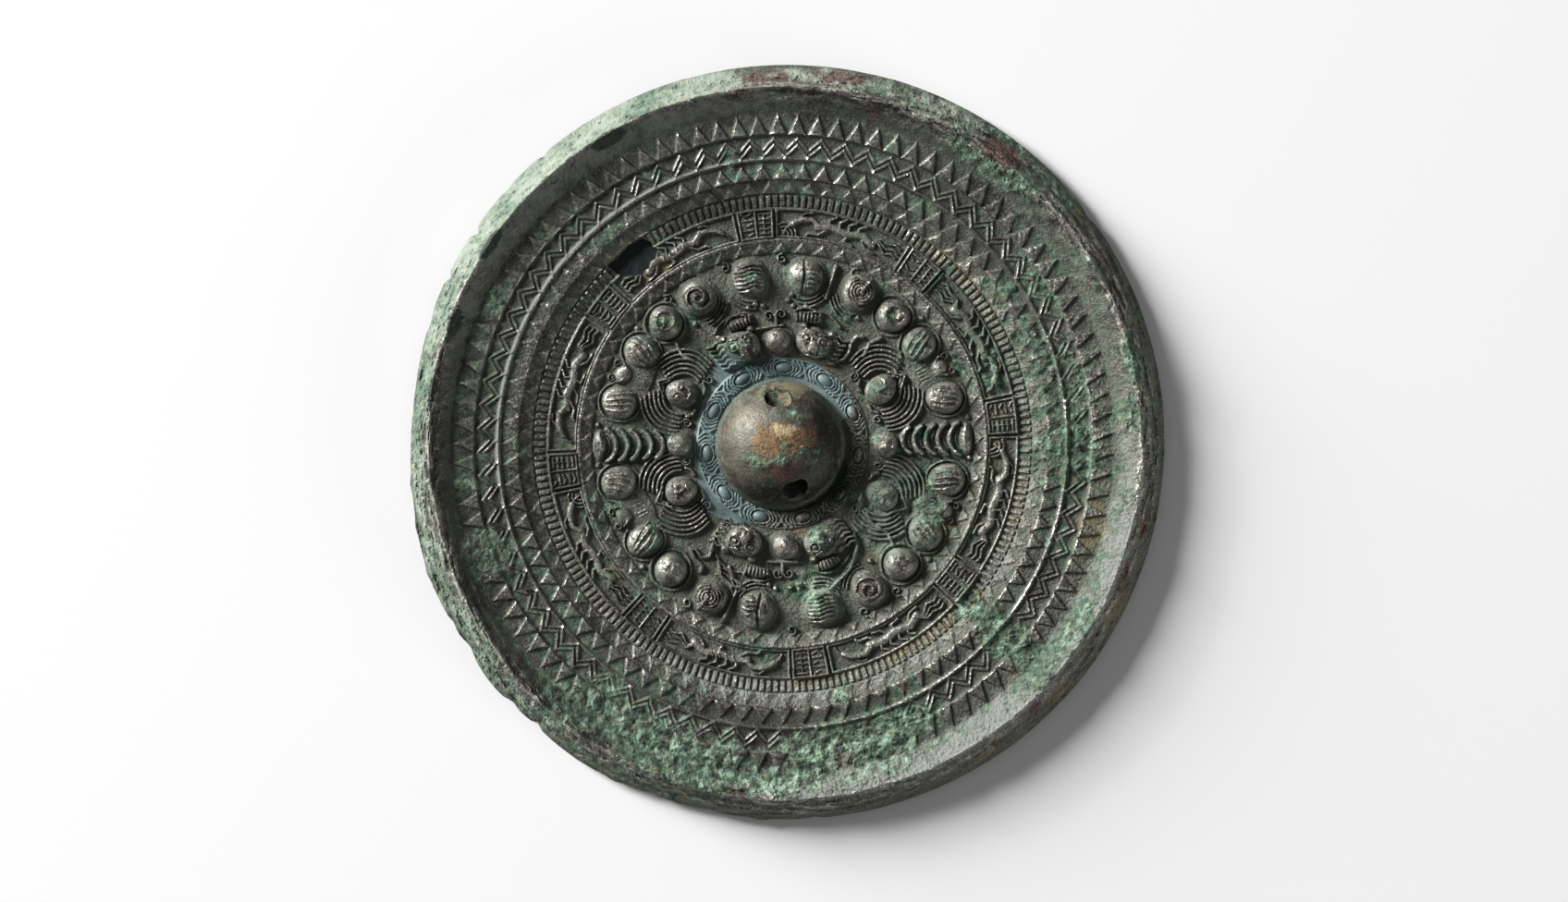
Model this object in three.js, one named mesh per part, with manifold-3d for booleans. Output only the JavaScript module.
// A cast bronze mirror with a triangular rim, lying on its polished face with the decorated back up.
// It is one casting: disc, rim, ornament and pierced knob are a single solid.
// Millimetres and degrees, +Z up out of the back, +Y along the cord tunnel through the knob.
// The origin is under the middle of the outline, on the flat spot of the face that the mirror lies on.
import * as THREE from "three";
import { mergeVertices } from "three/addons/utils/BufferGeometryUtils.js";
import Module from "manifold-3d";

const wasm = await Module();
wasm.setup();

// The disc and its slightly convex face
const OUTER_RADIUS = 111;
const EDGE_HEIGHT = 0.9;
const FACE_CURVE_RADIUS = 2200;
const FLAT_SPOT_RADIUS = 40;
const AROUND = 64;

// The ornament is struck about its own centre, a little off the middle of the outline
const ORNAMENT_CENTRE = new THREE.Vector2(-1.4, -0.3);

// Rim of triangular section
const CREST_RADIUS = 104.3;
const CREST_HEIGHT = 11.2;
const RIM_FOOT_RADIUS = 97.3;

// Raised outer zone, then the two inward slopes and the bands between them
const OUTER_ZONE_THICKNESS = 4.1;
const SAWTOOTH_STEP_RADIUS = 90.5;
const SAWTOOTH_STEP = 0.4;
const RING_RIDGE_RADIUS = 83.4;
const RING_RIDGE_HEIGHT = 0.6;
const RIDGE_HALF_WIDTH = 0.6;
const OUTER_SLOPE_TOP_RADIUS = 77.5;
const OUTER_SLOPE_FOOT_RADIUS = 73.4;
const BEAST_BAND_THICKNESS = 1.9;
const BEAST_BAND_INNER_RADIUS = 60.6;
const INNER_RIDGE_RADIUS = 60;
const INNER_RIDGE_THICKNESS = 3.2;
const INNER_SLOPE_FOOT_RADIUS = 56;
const FIELD_THICKNESS = 1.6;

// Pierced knob
const KNOB_CENTRE = new THREE.Vector2(-2.2, -0.6);
const KNOB_RADIUS = 19.2;
const KNOB_HEIGHT = 15;
const KNOB_AROUND = 26;
const KNOB_STEPS = 5;
const TUNNEL_WIDTH = 7.8;
const TUNNEL_HEIGHT = 4.8;
const TUNNEL_FLOOR = 8.2;
const TUNNEL_X = -0.3;
const TUNNEL_CORNER = 1;

// Sawtooth bands: teeth point outwards
const TOOTH_FILL = 0.9;
const OUTER_TEETH = { count: 101, base: 90.9, tip: 96.9, height: 0.75 };
const INNER_TEETH = { count: 84, base: 77.9, tip: 82.5, height: 0.75 };

// Square seals in the beast band
const SEAL_COUNT = 8;
const SEAL_START = -3.7;
const SEAL_RADIUS = 64.9;
const SEAL_WIDTH = 10.2;
const SEAL_LENGTH = 8.6;
const SEAL_HEIGHT = 1;

// Figures of the main field, by their place round the ornament centre
const BOSS_RING_RADIUS = 49.5;
const NIPPLE_ANGLES = [38.6, 123.5, 217.7, 303.8];
const NIPPLE = { width: 10, length: 10, height: 5 };
const LAP_ANGLES = [5.2, 25.4, 136.2, 155.1, 182.6, 204.4, 317.1, 337];
const LAP = { width: 9.8, length: 10.8, height: 3.8 };
const HAUNCH_ANGLES = [52.7, 71.6, 91, 109.6, 234, 250.4, 272.9, 290];
const HAUNCH = { width: 10.6, length: 11, height: 4.2 };
const INNER_NIPPLE_ANGLES = [82, 169.8, 260.8, 348.8];
const INNER_NIPPLE_RADIUS = 30.3;
const INNER_NIPPLE = { width: 7.8, length: 7.8, height: 4.2 };

const DEITY_ANGLES = [18.3, 142.8, 194.1, 321.9];
const DEITY_RADIUS = 33;
const DEITY_HEAD = { width: 8.4, length: 10, height: 4.6 };
const ROBE_ARCS = { count: 3, first: 6.4, pitch: 2.2, width: 1, height: 0.9, from: 8, to: 96 };
const ROBE_STEPS = 3;

const BEAST_ANGLES = [61.9, 102, 237.3, 281.1];
const BEAST_RADIUS = 31;
const BEAST_HEAD = { width: 11, length: 9.6, height: 4.6 };
const BEAST_BROW = { width: 9, length: 2.6, height: 3 };
const BEAST_BROW_OUT = 6.6;

const PLUME_ANGLES = [351, 169.8];
const PLUME_COUNT = 5;
const PLUME_FIRST_RADIUS = 53;
const PLUME_PITCH = 3.7;
const PLUME_FEATHER = { width: 10.4, length: 4.4, height: 2.6 };

const DOME_AROUND = 10;
const DOME_STEPS = 3;
const SMALL_DOME_AROUND = 8;
const SMALL_DOME_STEPS = 2;
const BURIED = 0.8;

// The loss in the comb band, closed from behind by a smooth fill that lies deeper than the surface
const LOSS_FLOOR = 1.5;
const LOSS_OUTLINE = [
  [113.9, 73.4], [123.9, 73.5], [123, 67.8], [120.8, 65.7],
  [118.9, 64.3], [116.6, 64.9], [113.9, 66], [112, 67.8], [112.4, 70.6],
];

const WELD = 1e-4;
const TINY_EDGE = 0.03;

// Turns a closed geometry into a solid, and a solid back into a geometry
function solidOf(geometry) {
  const bare = new THREE.BufferGeometry();
  bare.setAttribute("position", geometry.getAttribute("position").clone());
  if (geometry.index) bare.setIndex(geometry.index.clone());
  const merged = mergeVertices(bare, WELD);
  return new wasm.Manifold(
    new wasm.Mesh({
      numProp: 3,
      vertProperties: merged.attributes.position.array,
      triVerts: new Uint32Array(merged.index.array),
    }),
  );
}

function geometryOf(solid) {
  const mesh = solid.getMesh();
  const geometry = new THREE.BufferGeometry();
  geometry.setAttribute("position", new THREE.BufferAttribute(mesh.vertProperties, 3));
  geometry.setIndex(new THREE.BufferAttribute(mesh.triVerts, 1));
  geometry.computeVertexNormals();
  return geometry;
}

// Height of the convex face above the surface that the mirror lies on
function faceHeight(radius) {
  const beyond = radius * radius - FLAT_SPOT_RADIUS * FLAT_SPOT_RADIUS;
  return Math.max(0, beyond / (2 * FACE_CURVE_RADIUS));
}

function backHeight(radius, thickness) {
  return faceHeight(radius) + thickness;
}

// Turns a geometry made about the ornament centre on the +X side to its angle round that centre
function atAngle(geometry, angle) {
  return geometry
    .rotateZ(THREE.MathUtils.degToRad(angle))
    .translate(ORNAMENT_CENTRE.x, ORNAMENT_CENTRE.y, 0);
}

// Disc and rim: a turned profile whose ornament rows sit about the ornament centre
function disc() {
  const outerZone = (radius) => backHeight(radius, OUTER_ZONE_THICKNESS);
  const face = [
    [0, 0],
    [FLAT_SPOT_RADIUS, 0],
    [OUTER_SLOPE_TOP_RADIUS, faceHeight(OUTER_SLOPE_TOP_RADIUS)],
    [OUTER_RADIUS, faceHeight(OUTER_RADIUS)],
    [OUTER_RADIUS, faceHeight(OUTER_RADIUS) + EDGE_HEIGHT],
  ];
  const back = [
    [CREST_RADIUS, CREST_HEIGHT],
    [RIM_FOOT_RADIUS, outerZone(RIM_FOOT_RADIUS) + SAWTOOTH_STEP],
    [SAWTOOTH_STEP_RADIUS, outerZone(SAWTOOTH_STEP_RADIUS) + SAWTOOTH_STEP],
    [SAWTOOTH_STEP_RADIUS - SAWTOOTH_STEP, outerZone(SAWTOOTH_STEP_RADIUS)],
    [RING_RIDGE_RADIUS + RIDGE_HALF_WIDTH, outerZone(RING_RIDGE_RADIUS)],
    [RING_RIDGE_RADIUS, outerZone(RING_RIDGE_RADIUS) + RING_RIDGE_HEIGHT],
    [RING_RIDGE_RADIUS - RIDGE_HALF_WIDTH, outerZone(RING_RIDGE_RADIUS)],
    [OUTER_SLOPE_TOP_RADIUS, outerZone(OUTER_SLOPE_TOP_RADIUS)],
    [OUTER_SLOPE_FOOT_RADIUS, backHeight(OUTER_SLOPE_FOOT_RADIUS, BEAST_BAND_THICKNESS)],
    [BEAST_BAND_INNER_RADIUS, backHeight(BEAST_BAND_INNER_RADIUS, BEAST_BAND_THICKNESS)],
    [INNER_RIDGE_RADIUS, backHeight(INNER_RIDGE_RADIUS, INNER_RIDGE_THICKNESS)],
    [INNER_SLOPE_FOOT_RADIUS, backHeight(INNER_SLOPE_FOOT_RADIUS, FIELD_THICKNESS)],
    [0, FIELD_THICKNESS],
  ];
  const profile = [...face, ...back].map(([radius, height]) => new THREE.Vector2(radius, height));
  const geometry = new THREE.LatheGeometry(profile, AROUND).rotateX(Math.PI / 2);
  const position = geometry.attributes.position;
  for (let i = 0; i < position.count; i++) {
    const row = i % profile.length;
    if (row < face.length) continue;
    const share = row === face.length ? 0.5 : 1;
    position.setX(i, position.getX(i) + ORNAMENT_CENTRE.x * share);
    position.setY(i, position.getY(i) + ORNAMENT_CENTRE.y * share);
  }
  return solidOf(geometry);
}

// A round-topped dome on the unit circle, sunk a little into what it stands on.
// Its side is part of a ball that the base circle cuts at the angle low above or below the ball's middle.
function domeGeometry(height, low, around, steps) {
  const spread = Math.cos(low);
  const lift = Math.sin(low);
  const profile = [new THREE.Vector2(0, -BURIED), new THREE.Vector2(1, -BURIED)];
  for (let i = 0; i < steps; i++) {
    const rise = THREE.MathUtils.lerp(low, Math.PI / 2, i / steps);
    const share = (Math.sin(rise) - lift) / (1 - lift);
    profile.push(new THREE.Vector2(Math.cos(rise) / spread, height * share));
  }
  profile.push(new THREE.Vector2(0, height));
  return new THREE.LatheGeometry(profile, around).rotateX(Math.PI / 2);
}

// A boss of the field; its width runs round the mirror and its length towards the rim
function bossAt({ width, length, height }, angle, radius, around = DOME_AROUND, steps = DOME_STEPS) {
  const geometry = domeGeometry(height, 0, around, steps).scale(length / 2, width / 2, 1);
  geometry.translate(radius, 0, backHeight(radius, FIELD_THICKNESS));
  return solidOf(atAngle(geometry, angle));
}

// One ring of flat-topped triangular teeth
function sawtoothBand({ count, base, tip, height }, ground) {
  const halfWidth = (Math.PI * base * TOOTH_FILL) / count;
  const outline = new THREE.Shape();
  outline.moveTo(base, -halfWidth).lineTo(tip, 0).lineTo(base, halfWidth).closePath();
  return Array.from({ length: count }, (_, i) => {
    const tooth = new THREE.ExtrudeGeometry(outline, { depth: height + BURIED, bevelEnabled: false });
    tooth.translate(0, 0, ground - BURIED);
    return solidOf(atAngle(tooth, (360 * i) / count));
  });
}

// Square seal blocks that part the beast band into panels
function seals() {
  const ground = backHeight(SEAL_RADIUS, BEAST_BAND_THICKNESS);
  return Array.from({ length: SEAL_COUNT }, (_, i) => {
    const block = new THREE.BoxGeometry(SEAL_LENGTH, SEAL_WIDTH, SEAL_HEIGHT + BURIED);
    block.translate(SEAL_RADIUS, 0, ground + (SEAL_HEIGHT - BURIED) / 2);
    return solidOf(atAngle(block, SEAL_START + (360 * i) / SEAL_COUNT));
  });
}

// One curved ridge of a deity's robe, struck about the head
function robeArc(radius, from, to) {
  const { width, height } = ROBE_ARCS;
  const start = THREE.MathUtils.degToRad(from);
  const end = THREE.MathUtils.degToRad(to);
  const outline = new THREE.Shape();
  outline.absarc(0, 0, radius + width / 2, start, end, false);
  outline.absarc(0, 0, radius - width / 2, end, start, true);
  return new THREE.ExtrudeGeometry(outline, {
    depth: height + BURIED,
    bevelEnabled: false,
    curveSegments: ROBE_STEPS,
  });
}

// A seated deity: a rounded head and the ridges of the robe curving round it on both sides
function deity(angle) {
  const ground = backHeight(DEITY_RADIUS, FIELD_THICKNESS);
  const arcs = [];
  for (let i = 0; i < ROBE_ARCS.count; i++) {
    for (const side of [1, -1]) {
      const radius = ROBE_ARCS.first + i * ROBE_ARCS.pitch;
      const [from, to] = side > 0 ? [ROBE_ARCS.from, ROBE_ARCS.to] : [-ROBE_ARCS.to, -ROBE_ARCS.from];
      const ridge = robeArc(radius, from, to).translate(DEITY_RADIUS, 0, ground - BURIED);
      arcs.push(solidOf(atAngle(ridge, angle)));
    }
  }
  return [bossAt(DEITY_HEAD, angle, DEITY_RADIUS), ...arcs];
}

// A beast's head with its heavy brow
function beast(angle) {
  const browRadius = BEAST_RADIUS + BEAST_BROW_OUT;
  const brow = bossAt(BEAST_BROW, angle, browRadius, SMALL_DOME_AROUND, SMALL_DOME_STEPS);
  return [bossAt(BEAST_HEAD, angle, BEAST_RADIUS), brow];
}

// A plume: overlapping rounded feathers in a row towards the knob
function plume(angle) {
  return Array.from({ length: PLUME_COUNT }, (_, i) =>
    bossAt(PLUME_FEATHER, angle, PLUME_FIRST_RADIUS - i * PLUME_PITCH, SMALL_DOME_AROUND, SMALL_DOME_STEPS),
  );
}

function bosses() {
  return [
    ...NIPPLE_ANGLES.map((angle) => bossAt(NIPPLE, angle, BOSS_RING_RADIUS)),
    ...LAP_ANGLES.map((angle) => bossAt(LAP, angle, BOSS_RING_RADIUS)),
    ...HAUNCH_ANGLES.map((angle) => bossAt(HAUNCH, angle, BOSS_RING_RADIUS)),
    ...INNER_NIPPLE_ANGLES.map((angle) => bossAt(INNER_NIPPLE, angle, INNER_NIPPLE_RADIUS)),
  ];
}

// The knob is a cap of a ball
function knob() {
  const ball = (KNOB_RADIUS * KNOB_RADIUS + KNOB_HEIGHT * KNOB_HEIGHT) / (2 * KNOB_HEIGHT);
  const low = Math.asin((ball - KNOB_HEIGHT) / ball);
  const cap = domeGeometry(KNOB_HEIGHT, low, KNOB_AROUND, KNOB_STEPS).scale(KNOB_RADIUS, KNOB_RADIUS, 1);
  return solidOf(cap.translate(KNOB_CENTRE.x, KNOB_CENTRE.y, FIELD_THICKNESS));
}

// The straight tunnel for the cord, from one side of the knob to the other along Y
function cordTunnel() {
  const [w, h, c] = [TUNNEL_WIDTH / 2, TUNNEL_HEIGHT / 2, TUNNEL_CORNER];
  const section = new THREE.Shape();
  section.moveTo(-w + c, -h).lineTo(w - c, -h).lineTo(w, -h + c).lineTo(w, h - c);
  section.lineTo(w - c, h).lineTo(-w + c, h).lineTo(-w, h - c).lineTo(-w, -h + c).closePath();
  const length = 2 * KNOB_RADIUS;
  const bore = new THREE.ExtrudeGeometry(section, { depth: length, bevelEnabled: false });
  bore.translate(0, 0, -length / 2).rotateX(Math.PI / 2);
  return solidOf(bore.translate(TUNNEL_X, KNOB_CENTRE.y, TUNNEL_FLOOR + h));
}

// What the loss takes away above its fill
function loss() {
  const corners = LOSS_OUTLINE.map(([angle, radius]) =>
    new THREE.Vector2(radius, 0).rotateAround(new THREE.Vector2(), THREE.MathUtils.degToRad(angle)),
  );
  const cut = new THREE.ExtrudeGeometry(new THREE.Shape(corners), {
    depth: CREST_HEIGHT - LOSS_FLOOR,
    bevelEnabled: false,
  });
  return solidOf(cut.translate(ORNAMENT_CENTRE.x, ORNAMENT_CENTRE.y, LOSS_FLOOR));
}

function casting() {
  const outerBandGround = backHeight(OUTER_TEETH.base, OUTER_ZONE_THICKNESS) + SAWTOOTH_STEP;
  const innerBandGround = backHeight(INNER_TEETH.base, OUTER_ZONE_THICKNESS);
  const raised = [
    ...sawtoothBand(OUTER_TEETH, outerBandGround),
    ...sawtoothBand(INNER_TEETH, innerBandGround),
    ...seals(),
    ...bosses(),
    ...DEITY_ANGLES.flatMap(deity),
    ...BEAST_ANGLES.flatMap(beast),
    ...PLUME_ANGLES.flatMap(plume),
    knob(),
  ];
  const whole = wasm.Manifold.union([disc(), ...raised]);
  return whole.subtract(cordTunnel()).subtract(loss()).simplify(TINY_EDGE);
}

const bronze = new THREE.MeshStandardMaterial({ color: 0x4a4a42, roughness: 0.55, metalness: 0.8 });
const mirror = new THREE.Mesh(geometryOf(casting()), bronze);
mirror.name = "mirror";

const part = new THREE.Group();
part.add(mirror);

export default part;
